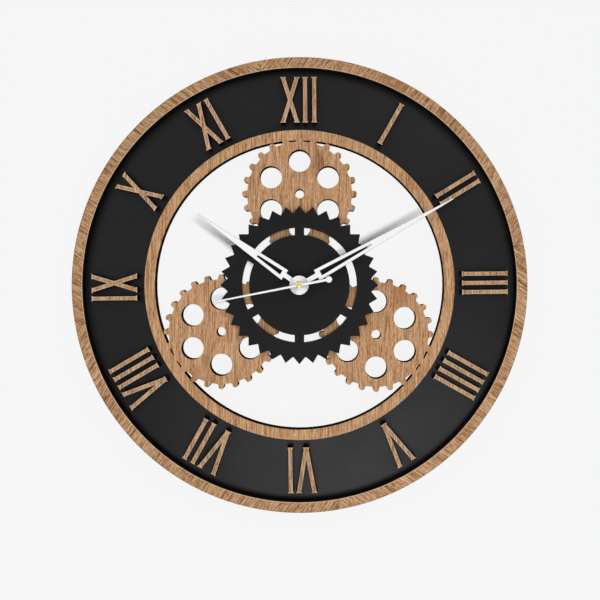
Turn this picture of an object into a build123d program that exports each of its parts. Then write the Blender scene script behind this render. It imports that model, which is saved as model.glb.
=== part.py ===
from build123d import *
import os
from math import acos, atan2, cos, degrees, hypot, pi, radians, sin, tan

os.makedirs("parts", exist_ok=True)

# Wall clock with fixed wooden gears. All sizes are in millimetres and degrees.
# Pieces are drawn in the dial's own frame: x to the right, y up, z out of the wall towards the viewer.
# The clock axis meets the wall at the origin.

# Board thicknesses
base_thickness = 4.0
wood_thickness = 8.0
center_gear_thickness = 4.0

# Dial ring and outer trim
outer_radius = 200.0
trim_width = 9.4
trim_count = 4
trim_first_joint = 10.2
trim_joint_gap = 0.2
dial_width = 54.6

# Inner ring and the three wooden gears cut from one sheet
ring_width = 9.3
ring_overhang = 3.0
gear_angles = [90.0, 210.8, 327.1]
gear_tip_radius = 50.3
gear_tooth_height = 4.4
gear_teeth = 24
gear_tooth_tip_width = 4.4
gear_tooth_root_width = 6.8
gear_tooth_rounding = 1.9
gear_valley_rounding = 1.8
gear_rounding_share = 0.45
gear_bite = 3.6
gear_hole_count = 6
gear_hole_radius = 9.7
gear_hole_wall = 7.2
gear_center_hole_radius = 4.0

# Black toothed disc in the middle
center_gear_teeth = 36
center_gear_tip_radius = 68.9
center_gear_tooth_height = 6.3
center_gear_tip_rounding = 0.5
center_gear_valley_rounding = 0.9
slot_count = 6
slot_width = 6.3
slot_rim = 12.5
slot_bridge_width = 8.2

# Raised numerals, each glued by hand a little off its hour; a positive turn is anticlockwise
hour_letters = ["I", "II", "III", "IIII", "V", "VI", "VII", "VIII", "IX", "X", "XI", "XII"]
numeral_turns = [0.5, 1.4, 0.7, 0.8, 1.1, 0.9, 1.0, 0.4, 0.7, -0.3, -0.1, 0.3]
numeral_inner_margin = 6.6
numeral_outer_margin = 8.1
stem_width = 3.5
serif_width = 5.6
serif_height = 2.6
serif_hollow = 0.35
x_half_spread = 6.2
v_half_spread = 6.9
v_foot_width = 6.2
stem_gap = 2.4
diagonal_gap = 1.5

# Hands
hand_thickness = 0.8
hand_spacing = 1.7
hub_radius = 8.3
hour_ring_gap = 19.7
hour_shoulder = 15.0
hour_width = 10.4
hour_tip_width = 0.9
hour_cut_start = 19.0
hour_cut_end = 44.0
hour_cut_width = 3.8
hour_cut_tip_width = 1.4
minute_overreach = 16.0
minute_shoulder = 17.2
minute_width = 10.6
minute_tip_width = 1.0
minute_cut_start = 21.5
minute_cut_end = 71.0
minute_cut_width = 4.3
minute_cut_tip_width = 1.1
hand_neck_width = 4.2
second_length = 69.5
second_tail = 26.0
second_base_width = 2.3
second_tip_width = 1.4
second_tip_radius = 1.3
second_boss_radius = 2.9
second_tail_radius = 2.8
second_thickness = 0.6
eyelet_radius = 2.35
eyelet_height = 0.9
eyelet_tube_radius = 1.3
eyelet_gap = 0.3
dome_share = 0.8
minute_rest = 60.7
hour_rest = 305.1
second_rest = 258.9

# Movement box
case_wall = 1.2
case_corner_radius = 3.0
cover_thickness = 1.6
case_clearance = 1.7
nose_wall = 1.45
nose_above_nut = 0.5
knob_radius = 4.4
knob_height = 1.1
knob_recess = 0.15
knob_grip_count = 24
knob_grip_depth = 0.3
knob_clearance = 0.4

# Clamp stack on the nose, and the hanger
hanger_thickness = 1.0
hanger_width = 22.0
hanger_bottom = 11.0
hanger_case_gap = 0.5
keyhole_radius = 3.2
keyhole_slot_width = 3.4
keyhole_slot_length = 3.2
keyhole_edge = 1.8
gasket_thickness = 0.8
gasket_radius = 9.5
washer_thickness = 0.8
washer_radius = 7.5
nut_height = 2.2
nut_sides = 6
nut_flats = 11.0
nose_hole_clearance = 0.15

# Battery and its contacts
battery_diameter = 14.5
battery_body_length = 49.3
battery_nub_length = 1.2
battery_nub_radius = 2.7
battery_clearance = 0.12
battery_chamfer = 0.5
contact_thickness = 0.4
contact_width = 9.0
contact_spring_room = 1.6
contact_tail_length = 4.0
contact_tail_width = 2.4
divider_wall = 1.1

# Electronics and stepping motor
board_thickness = 1.0
board_arbor_gap = 2.0
board_top_gap = 6.5
board_strip_height = 7.6
board_edge_gap = 0.5
chip_radius = 3.6
chip_height = 1.0
crystal_radius = 1.0
crystal_length = 6.0
coil_radius = 3.1
coil_length = 8.0
flange_radius = 3.6
flange_thickness = 0.8
bobbin_wall = 0.5
core_width = 2.4
core_thickness = 0.8
stator_thickness = 0.8
stator_ring_width = 2.0
stator_arm_width = 2.2
stator_yoke_drop = 2.0
stator_air_gap = 0.4
stator_post_radius = 1.2
magnet_radius = 2.8
magnet_height = 1.3

# Gear train: distances between arbors, tooth counts and layers
train_distance = 12.0
intermediate_distance = 12.5
rotor_distance = 8.5
third_angle = 150.0
intermediate_angle = 30.0
motion_angle = 90.0
rotor_angle = -20.3
rotor_pinion_teeth = 10
intermediate_wheel_teeth = 50
intermediate_pinion_teeth = 10
second_wheel_teeth = 60
second_pinion_teeth = 10
third_wheel_teeth = 75
third_pinion_teeth = 10
center_wheel_teeth = 80
cannon_pinion_teeth = 12
minute_wheel_teeth = 36
minute_pinion_teeth = 10
hour_wheel_teeth = 40
pressure_angle = 25.0
addendum_modules = 0.8
dedendum_modules = 1.05
backlash = 0.1
wheel_thickness = 0.8
layer_pitch = 1.8
first_layer_gap = 2.3
pinion_overrun = 0.2
wheel_clearance = 0.4
arbor_radius = 0.5
second_arbor_radius = 0.6
minute_tube_wall = 0.85
hour_tube_wall = 0.95
running_clearance = 0.05
press_clearance = 0.02
pivot_depth = 0.9
pivot_end_gap = 0.1

# Radii that follow from the sizes above
trim_inner_radius = outer_radius - trim_width
ring_outer_radius = trim_inner_radius - dial_width
ring_inner_radius = ring_outer_radius - ring_width
gear_root_radius = gear_tip_radius - gear_tooth_height
gear_circle_radius = ring_inner_radius + gear_bite - gear_tip_radius
gear_hole_circle_radius = gear_root_radius - gear_hole_wall - gear_hole_radius
center_gear_root_radius = center_gear_tip_radius - center_gear_tooth_height
slot_outer_radius = center_gear_root_radius - slot_rim
slot_inner_radius = slot_outer_radius - slot_width
numeral_foot_radius = ring_outer_radius + numeral_inner_margin
numeral_height = trim_inner_radius - numeral_outer_margin - numeral_foot_radius
hour_length = ring_inner_radius - hour_ring_gap
minute_length = ring_outer_radius + minute_overreach
minute_tube_radius = second_arbor_radius + running_clearance + minute_tube_wall
hour_tube_radius = minute_tube_radius + running_clearance + hour_tube_wall
nose_bore_radius = hour_tube_radius + running_clearance
nose_radius = nose_bore_radius + nose_wall


def polar(radius, angle):
    return (radius * cos(radians(angle)), radius * sin(radians(angle)))


def gear_module(distance, teeth_a, teeth_b):
    return 2 * distance / (teeth_a + teeth_b)


def tip_radius(teeth, module):
    return module * (teeth / 2 + addendum_modules)


# Modules of the six meshes
rotor_module = gear_module(rotor_distance, rotor_pinion_teeth, intermediate_wheel_teeth)
intermediate_module = gear_module(intermediate_distance, intermediate_pinion_teeth, second_wheel_teeth)
second_module = gear_module(train_distance, second_pinion_teeth, third_wheel_teeth)
third_module = gear_module(train_distance, third_pinion_teeth, center_wheel_teeth)
cannon_module = gear_module(train_distance, cannon_pinion_teeth, minute_wheel_teeth)
motion_module = gear_module(train_distance, minute_pinion_teeth, hour_wheel_teeth)

# Arbor places
third_place = polar(train_distance, third_angle)
motion_place = polar(train_distance, motion_angle)
intermediate_place = polar(intermediate_distance, intermediate_angle)
rotor_step = polar(rotor_distance, rotor_angle)
rotor_place = (intermediate_place[0] + rotor_step[0], intermediate_place[1] + rotor_step[1])

# Movement box, worked outwards from the battery and the wheels on the axis
axis_wheel_radius = max(
    tip_radius(second_wheel_teeth, intermediate_module),
    tip_radius(center_wheel_teeth, third_module),
    tip_radius(hour_wheel_teeth, motion_module),
)
battery_length = battery_body_length + battery_nub_length
bobbin_half_length = coil_length / 2 + flange_thickness
core_half_length = bobbin_half_length + stator_arm_width
bay_half_width = max(
    (battery_length + 2 * contact_thickness + contact_spring_room) / 2,
    rotor_place[0] + core_half_length + contact_thickness + wheel_clearance / 2,
    tip_radius(third_wheel_teeth, second_module) - third_place[0] + wheel_clearance,
)
spring_depth = 2 * bay_half_width - 2 * contact_thickness - battery_length
room_bottom = -(axis_wheel_radius + wheel_clearance)
bay_top = room_bottom - divider_wall
bay_bottom = bay_top - battery_diameter - 2 * battery_clearance
case_half_width = bay_half_width + case_wall
case_bottom = bay_bottom - case_wall
room_top = max(
    case_bottom + 2 * case_half_width - case_wall,
    motion_place[1] + tip_radius(minute_wheel_teeth, cannon_module) + wheel_clearance,
)
case_top = room_top + case_wall


def layer(number):
    return cover_thickness + first_layer_gap + number * layer_pitch


hour_wheel_top = layer(5) + wheel_thickness
case_inner_depth = max(
    battery_diameter + 2 * battery_clearance,
    hour_wheel_top + 2 * pinion_overrun + wheel_clearance,
)
case_depth = case_inner_depth + case_wall

# Heights above the wall, from the case forwards
hanger_front = case_depth + hanger_thickness
wood_front = hanger_front + gasket_thickness
wood_back = wood_front - wood_thickness
base_back = wood_back - base_thickness
center_gear_front = wood_front + center_gear_thickness
washer_front = center_gear_front + washer_thickness
nut_front = washer_front + nut_height
nose_front = nut_front + nose_above_nut
hour_hand_back = nose_front + hand_spacing / 2
minute_hand_back = hour_hand_back + hand_thickness + hand_spacing
second_hand_back = minute_hand_back + hand_thickness + hand_spacing
second_hand_front = second_hand_back + second_thickness
eyelet_back = second_hand_back - hand_spacing + eyelet_gap
case_clear_radius = hypot(case_half_width, max(case_top, -case_bottom)) + case_clearance


def save(node, shape):
    export_step(Plane.XZ.location * shape, f"parts/{node}.step")


def plate(face, back, front):
    return extrude(Pos(0, 0, back) * face, front - back, dir=(0, 0, 1))


def disc(radius, back, front, place=(0, 0)):
    return plate(Pos(*place) * Circle(radius), back, front)


def ring(outer, inner, back, front, place=(0, 0)):
    return plate(Pos(*place) * (Circle(outer) - Circle(inner)), back, front)


def block(left, right, bottom, top, back, front):
    middle = ((left + right) / 2, (bottom + top) / 2)
    return plate(Pos(*middle) * Rectangle(right - left, top - bottom), back, front)


# Base ring: black board that carries the trim, the numerals and the inner ring
def base_ring():
    return ring(outer_radius, ring_inner_radius + ring_overhang, base_back, wood_back)


# Outer trim: equal ring segments with a fine joint line between neighbours
def trim_segment(number):
    band = Circle(outer_radius) - Circle(trim_inner_radius)
    span = 360 / trim_count
    start = trim_first_joint + number * span
    reach = 2 * outer_radius
    joint_half = trim_joint_gap / 2
    half_plane = Pos(0, joint_half) * Rectangle(2 * reach, reach, align=(Align.CENTER, Align.MIN))
    quarter = band & (Rot(0, 0, start) * half_plane) & (Rot(0, 0, start + span + 180) * half_plane)
    return plate(quarter, wood_back, wood_front)


# Wooden gear outline: teeth with rounded tips around a root disc, and rounded valleys between them
def wooden_gear():
    half_root = gear_tooth_root_width / 2
    half_tip = gear_tooth_tip_width / 2
    foot = gear_root_radius - gear_tooth_height
    tooth = Polygon(
        (foot, -half_root),
        (gear_tip_radius, -half_tip),
        (gear_tip_radius, half_tip),
        (foot, half_root),
        align=None,
    )
    rounding = min(gear_tooth_rounding, gear_rounding_share * gear_tooth_tip_width)
    tooth = fillet(tooth.vertices().group_by(Axis.X)[-1], rounding)
    pitch = 360 / gear_teeth
    teeth = [Rot(0, 0, pitch * number) * tooth for number in range(gear_teeth)]
    outline = Circle(gear_root_radius) + teeth
    limit = gear_root_radius + gear_tooth_height / 4
    valleys = [corner for corner in outline.vertices() if hypot(corner.X, corner.Y) < limit]
    return fillet(valleys, min(gear_valley_rounding, gear_rounding_share * gear_tooth_height))


def wooden_gear_holes():
    first = 90
    pitch = 360 / gear_hole_count
    places = [polar(gear_hole_circle_radius, first + pitch * number) for number in range(gear_hole_count)]
    return [Circle(gear_center_hole_radius)] + [Pos(*place) * Circle(gear_hole_radius) for place in places]


# Inner ring and wooden gears in one sheet, cleared in the middle for the movement
def gear_frame():
    sheet = Circle(ring_outer_radius) - Circle(ring_inner_radius)
    gear = wooden_gear()
    places = [polar(gear_circle_radius, angle) for angle in gear_angles]
    sheet = sheet + [Pos(*place) * gear for place in places]
    holes = wooden_gear_holes()
    sheet = sheet - [Pos(*place) * hole for place in places for hole in holes]
    sheet = sheet - Circle(case_clear_radius)
    return plate(sheet, wood_back, wood_front)


# Center gear: pointed teeth, six arc slots and the hole for the nose
def center_gear():
    points = []
    pitch = 360 / center_gear_teeth
    for number in range(center_gear_teeth):
        points.append(polar(center_gear_tip_radius, 90 + pitch * number))
        points.append(polar(center_gear_root_radius, 90 + pitch * (number + 0.5)))
    outline = Polygon(*points, align=None)
    middle_radius = (center_gear_tip_radius + center_gear_root_radius) / 2
    corners = outline.vertices()
    tips = [corner for corner in corners if hypot(corner.X, corner.Y) > middle_radius]
    outline = fillet(tips, center_gear_tip_rounding)
    corners = outline.vertices()
    limit = center_gear_root_radius + center_gear_tooth_height / 4
    valleys = [corner for corner in corners if hypot(corner.X, corner.Y) < limit]
    outline = fillet(valleys, center_gear_valley_rounding)
    slots = Circle(slot_outer_radius) - Circle(slot_inner_radius)
    spread = 360 / slot_count
    bridge = Rectangle(slot_outer_radius, slot_bridge_width, align=(Align.MIN, Align.CENTER))
    slots = slots - [Rot(0, 0, 90 + spread * number) * bridge for number in range(slot_count)]
    outline = outline - slots - Circle(nose_radius + nose_hole_clearance)
    return plate(outline, wood_front, center_gear_front)


# One stroke of a numeral, from its foot's middle to its head's middle, with hollow flares at both ends
def stroke(foot_x, head_x, foot_width, head_width):
    lean = (head_x - foot_x) / numeral_height
    half = stem_width * hypot(1, lean) / 2
    flare = min(serif_height, numeral_height / 4)

    def at(height, offset):
        return (foot_x + lean * height + offset, height)

    def hollow(end_width):
        return half + serif_hollow * (end_width / 2 - half)

    sag = serif_hollow * flare
    top = numeral_height
    edges = [
        Line(at(0, -foot_width / 2), at(0, foot_width / 2)),
        Line(at(top, -head_width / 2), at(top, head_width / 2)),
    ]
    for side in (-1, 1):
        foot_end = at(flare, side * half)
        head_end = at(top - flare, side * half)
        foot_middle = at(sag, side * hollow(foot_width))
        head_middle = at(top - sag, side * hollow(head_width))
        edges.append(ThreePointArc(at(0, side * foot_width / 2), foot_middle, foot_end))
        edges.append(Line(foot_end, head_end))
        edges.append(ThreePointArc(head_end, head_middle, at(top, side * head_width / 2)))
    return make_face(edges)


def glyph(letter):
    end = serif_width
    if letter == "I":
        return stroke(0, 0, end, end)
    if letter == "X":
        rising = stroke(-x_half_spread, x_half_spread, end, end)
        return rising + stroke(x_half_spread, -x_half_spread, end, end)
    left = stroke(0, -v_half_spread, v_foot_width, end)
    return left + stroke(0, v_half_spread, v_foot_width, end)


def glyph_half_width(letter):
    spread = {"I": 0, "X": x_half_spread, "V": v_half_spread}
    return spread[letter] + serif_width / 2


# A numeral stands on the dial with its feet towards the clock axis
def numeral(hour, letters):
    places = []
    x = 0
    before = None
    for letter in letters:
        if before is not None:
            x += stem_gap if before == letter == "I" else diagonal_gap
        places.append(x + glyph_half_width(letter))
        x += 2 * glyph_half_width(letter)
        before = letter
    turn = Rot(0, 0, numeral_turns[hour - 1] - 360 / len(hour_letters) * hour)
    pieces = []
    for place, letter in zip(places, letters):
        outline = Pos(place - x / 2, numeral_foot_radius) * glyph(letter)
        pieces.append(turn * plate(outline, wood_back, wood_front))
    return Part() + pieces


# Hand blade: hub, neck, shouldered blade that tapers to the tip, and a slim cut-out, pointing up
def hand_blade(length, shoulder, width, tip_width, cut_start, cut_end, cut_width, cut_tip_width, bore):
    blade = Polygon(
        (-width / 2, shoulder),
        (width / 2, shoulder),
        (tip_width / 2, length),
        (-tip_width / 2, length),
        align=None,
    )
    neck = Rectangle(hand_neck_width, shoulder, align=(Align.CENTER, Align.MIN))
    cut = Polygon(
        (-cut_width / 2, cut_start),
        (cut_width / 2, cut_start),
        (cut_tip_width / 2, cut_end),
        (-cut_tip_width / 2, cut_end),
        align=None,
    )
    return Circle(hub_radius) + neck + blade - cut - Circle(bore)


def hour_hand():
    bore = hour_tube_radius + press_clearance
    blade = hand_blade(
        hour_length,
        hour_shoulder,
        hour_width,
        hour_tip_width,
        hour_cut_start,
        hour_cut_end,
        hour_cut_width,
        hour_cut_tip_width,
        bore,
    )
    return plate(Rot(0, 0, -hour_rest) * blade, hour_hand_back, hour_hand_back + hand_thickness)


def minute_hand():
    bore = minute_tube_radius + press_clearance
    blade = hand_blade(
        minute_length,
        minute_shoulder,
        minute_width,
        minute_tip_width,
        minute_cut_start,
        minute_cut_end,
        minute_cut_width,
        minute_cut_tip_width,
        bore,
    )
    return plate(Rot(0, 0, -minute_rest) * blade, minute_hand_back, minute_hand_back + hand_thickness)


# Second hand: a needle with a boss on the axis, a disc on its short tail and a small disc on its tip
def second_hand():
    needle = Polygon(
        (-second_base_width / 2, -second_tail),
        (second_base_width / 2, -second_tail),
        (second_tip_width / 2, second_length),
        (-second_tip_width / 2, second_length),
        align=None,
    )
    boss = Circle(second_boss_radius)
    tail = Pos(0, -second_tail) * Circle(second_tail_radius)
    tip = Pos(0, second_length) * Circle(second_tip_radius)
    outline = needle + boss + tail + tip - Circle(eyelet_tube_radius + press_clearance)
    return plate(Rot(0, 0, -second_rest) * outline, second_hand_back, second_hand_front)


# Brass eyelet: a domed head on a short tube that grips the second arbor
def second_hand_eyelet():
    head = disc(eyelet_radius, second_hand_front, second_hand_front + eyelet_height)
    head = fillet(head.edges().sort_by(Axis.Z)[-1], dome_share * eyelet_height)
    tube = disc(eyelet_tube_radius, eyelet_back, second_hand_front)
    bore = disc(second_arbor_radius + press_clearance, eyelet_back, second_hand_front)
    return head + tube - bore


# Hex nut, washer and rubber gasket on the nose
def hex_nut():
    corner_radius = nut_flats / 2 / cos(pi / nut_sides)
    outline = RegularPolygon(corner_radius, nut_sides) - Circle(nose_radius + press_clearance)
    return plate(outline, washer_front, nut_front)


def washer():
    return ring(washer_radius, nose_radius + nose_hole_clearance, center_gear_front, washer_front)


def gasket():
    return ring(gasket_radius, nose_radius + nose_hole_clearance, hanger_front, wood_front)


# Hanger: a bracket on the nose, bent back over the case, and a plate with the keyhole welded to its end
hanger_rise = case_top + hanger_case_gap
keyhole_height = hanger_rise + hanger_thickness + keyhole_edge + keyhole_radius
hanger_top = keyhole_height + keyhole_radius + keyhole_slot_length + keyhole_edge


def hanger():
    half = hanger_width / 2
    front = block(-half, half, -hanger_bottom, hanger_rise + hanger_thickness, case_depth, hanger_front)
    front = front - disc(nose_radius + nose_hole_clearance, case_depth, hanger_front)
    bridge = block(-half, half, hanger_rise, hanger_rise + hanger_thickness, hanger_thickness, hanger_front)
    return front + bridge


def keyhole_plate():
    half = hanger_width / 2
    plate_body = block(-half, half, hanger_rise, hanger_top, 0, hanger_thickness)
    slot_half = keyhole_slot_width / 2
    slot_end = keyhole_height + keyhole_radius + keyhole_slot_length - slot_half
    slot = block(-slot_half, slot_half, keyhole_height, slot_end, 0, hanger_thickness)
    slot = slot + disc(slot_half, 0, hanger_thickness, (0, slot_end))
    keyhole = disc(keyhole_radius, 0, hanger_thickness, (0, keyhole_height)) + slot
    return plate_body - keyhole


# Pivot holes that the arbors turn in
def pivots(back, front):
    hole = arbor_radius + running_clearance
    return [disc(hole, back, front, place) for place in (third_place, intermediate_place, rotor_place)]


pivot_back = cover_thickness - pivot_depth
pivot_front = case_inner_depth + pivot_depth
arbor_back = pivot_back + pivot_end_gap
arbor_front = pivot_front - pivot_end_gap


def case_outline():
    middle = (case_top + case_bottom) / 2
    height = case_top - case_bottom
    return Pos(0, middle) * RectangleRounded(2 * case_half_width, height, case_corner_radius)


# Movement case: a square shell with the battery bay below and the threaded nose in front
def movement_case():
    shell = plate(case_outline(), 0, case_depth)
    bay = block(-bay_half_width, bay_half_width, bay_bottom, bay_top, 0, case_inner_depth)
    room = block(-bay_half_width, bay_half_width, room_bottom, room_top, 0, case_inner_depth)
    cover_step = block(-case_half_width, case_half_width, bay_top, case_top, 0, cover_thickness)
    nose = disc(nose_radius, case_inner_depth, nose_front)
    nose_bore = disc(nose_bore_radius, case_inner_depth, nose_front)
    shell = shell - bay - room - cover_step + nose - nose_bore
    notch_width = contact_thickness + battery_clearance
    notch_front = tail_back + contact_tail_width + battery_clearance
    notch_inner = bay_half_width - notch_width
    left = block(-bay_half_width, -notch_inner, bay_top, room_bottom, cover_thickness, notch_front)
    right = block(notch_inner, bay_half_width, bay_top, room_bottom, cover_thickness, notch_front)
    motion_hole = disc(arbor_radius + running_clearance, case_inner_depth, pivot_front, motion_place)
    return shell - left - right - motion_hole - pivots(case_inner_depth, pivot_front)


# Rear cover: closes the wheel room, with a cup for the setting knob
knob_cup_radius = knob_radius + knob_clearance
knob_cup_floor = knob_recess + knob_height + knob_clearance
knob_cup_front = knob_cup_floor + case_wall


def rear_cover():
    cover = plate(case_outline(), 0, cover_thickness)
    cover = cover - block(-case_half_width, case_half_width, case_bottom, bay_top, 0, cover_thickness)
    cover = cover + disc(knob_cup_radius + case_wall, 0, knob_cup_front, motion_place)
    post = disc(stator_post_radius, cover_thickness, stator_back, stator_post_place)
    cover = cover - disc(knob_cup_radius, 0, knob_cup_floor, motion_place)
    cover = cover - disc(arbor_radius + running_clearance, knob_cup_floor, knob_cup_front, motion_place)
    second_pivot = disc(second_arbor_radius + running_clearance, pivot_back, cover_thickness)
    return cover + post - second_pivot - pivots(pivot_back, cover_thickness)


# Setting knob: a small grip disc pressed on the motion arbor
def setting_knob():
    grip = Circle(knob_radius)
    pitch = 360 / knob_grip_count
    notch = Pos(knob_radius, 0) * Circle(knob_grip_depth)
    grip = grip - [Rot(0, 0, pitch * number) * notch for number in range(knob_grip_count)]
    bore = Circle(arbor_radius + press_clearance)
    return plate(Pos(*motion_place) * (grip - bore), knob_recess, knob_recess + knob_height)


# Battery lying across the bottom of the case, nub to the right
battery_middle = (bay_top + bay_bottom) / 2
battery_back = battery_clearance
battery_axis_height = battery_back + battery_diameter / 2
battery_left = -bay_half_width + contact_thickness + spring_depth
battery_right = battery_left + battery_body_length


def along_x(radius, left, right, y, z):
    rod = Cylinder(radius, right - left, align=(Align.CENTER, Align.CENTER, Align.MIN))
    return Pos(left, y, z) * Rot(0, 90, 0) * rod


def battery():
    body = along_x(battery_diameter / 2, battery_left, battery_right, battery_middle, battery_axis_height)
    body = chamfer(body.edges().filter_by(GeomType.CIRCLE), battery_chamfer)
    nub_right = battery_right + battery_nub_length
    return body + along_x(battery_nub_radius, battery_right, nub_right, battery_middle, battery_axis_height)


# Contacts: a strip on each end wall with a tail through the divider onto the circuit board
tail_back = cover_thickness + board_thickness
tail_front = tail_back + contact_thickness
contact_bottom = battery_middle - contact_width / 2
contact_front = battery_axis_height + contact_width / 2


def contact(side):
    def strip(inner, bottom, top, back, front):
        left, right = sorted((side * bay_half_width, side * (bay_half_width - inner)))
        return block(left, right, bottom, top, back, front)

    tail_end = room_bottom + contact_tail_length
    pad = strip(contact_thickness, contact_bottom, bay_top, tail_back, contact_front)
    neck = strip(contact_thickness, bay_top, tail_end, tail_back, tail_back + contact_tail_width)
    tab = strip(contact_tail_width, room_bottom + battery_clearance, tail_end, tail_back, tail_front)
    return pad + neck + tab


def positive_contact():
    return contact(1)


# The negative strip has a leaf that bows out to the flat end of the battery
def negative_contact():
    wall = -bay_half_width
    crest = wall + contact_thickness + spring_depth
    half = contact_width / 2
    leaf = Polygon(
        (wall, -half),
        (wall + contact_thickness, -half),
        (crest, 0),
        (wall + contact_thickness, half),
        (wall, half),
        (crest - contact_thickness, 0),
        align=None,
    )
    bow_back = battery_axis_height - contact_width / 4
    bow_front = battery_axis_height + contact_width / 4
    return contact(-1) + plate(Pos(0, battery_middle) * leaf, bow_back, bow_front)


# Circuit board: a column at the left and a strip along the divider, on the rear cover
board_left = -bay_half_width + board_edge_gap
board_right = bay_half_width - board_edge_gap
board_bottom = room_bottom + board_edge_gap
board_top = room_top - board_top_gap
board_front = cover_thickness + board_thickness
column_right = third_place[0] - arbor_radius - board_arbor_gap
column_middle = (board_left + column_right) / 2


def circuit_board():
    column = block(board_left, column_right, board_bottom, board_top, cover_thickness, board_front)
    strip_top = board_bottom + board_strip_height
    return column + block(board_left, board_right, board_bottom, strip_top, cover_thickness, board_front)


def driver_chip():
    place = (column_middle, (board_bottom + board_top) / 2)
    chip = disc(chip_radius, board_front, board_front + chip_height, place)
    return fillet(chip.edges().sort_by(Axis.Z)[-1], dome_share * chip_height)


def quartz_crystal():
    left = column_middle - crystal_length / 2
    height = board_top - 2 * crystal_radius
    return along_x(crystal_radius, left, left + crystal_length, height, board_front + crystal_radius)


# Stepping motor: coil on the board strip, stator plate around the rotor
coil_middle = board_bottom + board_strip_height / 2
coil_axis_height = board_front + flange_radius
coil_place = rotor_place[0]
core_back = coil_axis_height - core_thickness / 2
core_front = coil_axis_height + core_thickness / 2
stator_front = core_back
stator_back = stator_front - stator_thickness
stator_hole_radius = magnet_radius + stator_air_gap
stator_outer_radius = stator_hole_radius + stator_ring_width
stator_post_place = (rotor_place[0] + stator_outer_radius, rotor_place[1] + stator_outer_radius)


def around_coil(radius, left, right):
    return along_x(radius, coil_place + left, coil_place + right, coil_middle, coil_axis_height)


def core_block(extra, half_length):
    half = core_width / 2 + extra
    return block(
        coil_place - half_length,
        coil_place + half_length,
        coil_middle - half,
        coil_middle + half,
        core_back - extra,
        core_front + extra,
    )


def coil():
    winding = around_coil(coil_radius, -coil_length / 2, coil_length / 2)
    return winding - core_block(bobbin_wall, coil_length)


def coil_bobbin():
    half = coil_length / 2
    left_flange = around_coil(flange_radius, -bobbin_half_length, -half)
    right_flange = around_coil(flange_radius, half, bobbin_half_length)
    sleeve = core_block(bobbin_wall, half)
    return left_flange + right_flange + sleeve - core_block(press_clearance, 2 * coil_length)


def coil_core():
    return core_block(0, core_half_length)


def stator():
    x, y = rotor_place
    foot = coil_middle - core_width / 2
    yoke = y - stator_yoke_drop
    outline = Pos(x, y) * Circle(stator_outer_radius)
    outline = outline + Pos(coil_place, yoke) * Rectangle(2 * core_half_length, stator_arm_width)
    arm = Rectangle(stator_arm_width, yoke - foot, align=(Align.CENTER, Align.MIN))
    for side in (-1, 1):
        middle = coil_place + side * (bobbin_half_length + stator_arm_width / 2)
        outline = outline + Pos(middle, foot) * arm
    lug_x = stator_post_place[0] - x
    lug_y = stator_post_place[1] - y
    lug = Rectangle(hypot(lug_x, lug_y), 2 * stator_post_radius, align=(Align.MIN, Align.CENTER))
    outline = outline + Pos(x, y) * Rot(0, 0, degrees(atan2(lug_y, lug_x))) * lug
    outline = outline + Pos(*stator_post_place) * Circle(stator_post_radius)
    outline = outline - Pos(x, y) * Circle(stator_hole_radius)
    return plate(outline, stator_back, stator_front)


magnet_middle = (stator_back + stator_front) / 2
magnet_back = magnet_middle - magnet_height / 2
magnet_front = magnet_middle + magnet_height / 2


def rotor_magnet():
    return ring(magnet_radius, arbor_radius + press_clearance, magnet_back, magnet_front, rotor_place)


# Involute gear outline with one tooth centred on the angle tooth_at
def gear_outline(teeth, module, tooth_at):
    pressure = radians(pressure_angle)
    pitch_radius = module * teeth / 2
    base_radius = pitch_radius * cos(pressure)
    root_radius = pitch_radius - dedendum_modules * module
    flank_start = max(root_radius, base_radius)
    outer = tip_radius(teeth, module)
    radii = [flank_start, (flank_start + pitch_radius) / 2, pitch_radius, (pitch_radius + outer) / 2, outer]
    if root_radius < base_radius:
        radii = [root_radius] + radii
    half_pitch = pi / (2 * teeth) - backlash / (4 * pitch_radius)

    def half_angle(radius):
        roll = acos(min(1, base_radius / radius))
        return degrees(half_pitch + tan(pressure) - pressure - tan(roll) + roll)

    points = []
    for number in range(teeth):
        center = tooth_at + 360 * number / teeth
        points += [polar(radius, center - half_angle(radius)) for radius in radii]
        points += [polar(radius, center + half_angle(radius)) for radius in reversed(radii)]
    return Polygon(*points, align=None)


def toothed(teeth, module, tooth_at, back, front, place=(0, 0)):
    return plate(Pos(*place) * gear_outline(teeth, module, tooth_at), back, front)


def wheel(teeth, module, tooth_at, number, place=(0, 0)):
    return toothed(teeth, module, tooth_at, layer(number), layer(number) + wheel_thickness, place)


# A pinion starts on its own wheel and reaches past the wheel that it drives, one layer further out
def pinion(teeth, module, tooth_at, number, place=(0, 0)):
    back = layer(number) + wheel_thickness
    front = layer(number + 1) + wheel_thickness + pinion_overrun
    return toothed(teeth, module, tooth_at, back, front, place)


# A gear's space faces the tooth of the gear that it meets
def facing(angle, teeth):
    return angle + 180 + 180 / teeth


def rotor_pinion():
    tooth_at = facing(rotor_angle, rotor_pinion_teeth)
    leaves = toothed(
        rotor_pinion_teeth, rotor_module, tooth_at, layer(0) - pinion_overrun, magnet_back, rotor_place
    )
    return leaves + disc(arbor_radius, arbor_back, arbor_front, rotor_place)


def intermediate_wheel():
    place = intermediate_place
    body = wheel(intermediate_wheel_teeth, rotor_module, rotor_angle, 0, place)
    tooth_at = facing(intermediate_angle, intermediate_pinion_teeth)
    body = body + pinion(intermediate_pinion_teeth, intermediate_module, tooth_at, 0, place)
    return body + disc(arbor_radius, arbor_back, arbor_front, place)


def second_wheel():
    body = wheel(second_wheel_teeth, intermediate_module, intermediate_angle, 1)
    body = body + pinion(second_pinion_teeth, second_module, third_angle, 1)
    return body + disc(second_arbor_radius, arbor_back, second_hand_front - pivot_end_gap)


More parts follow.
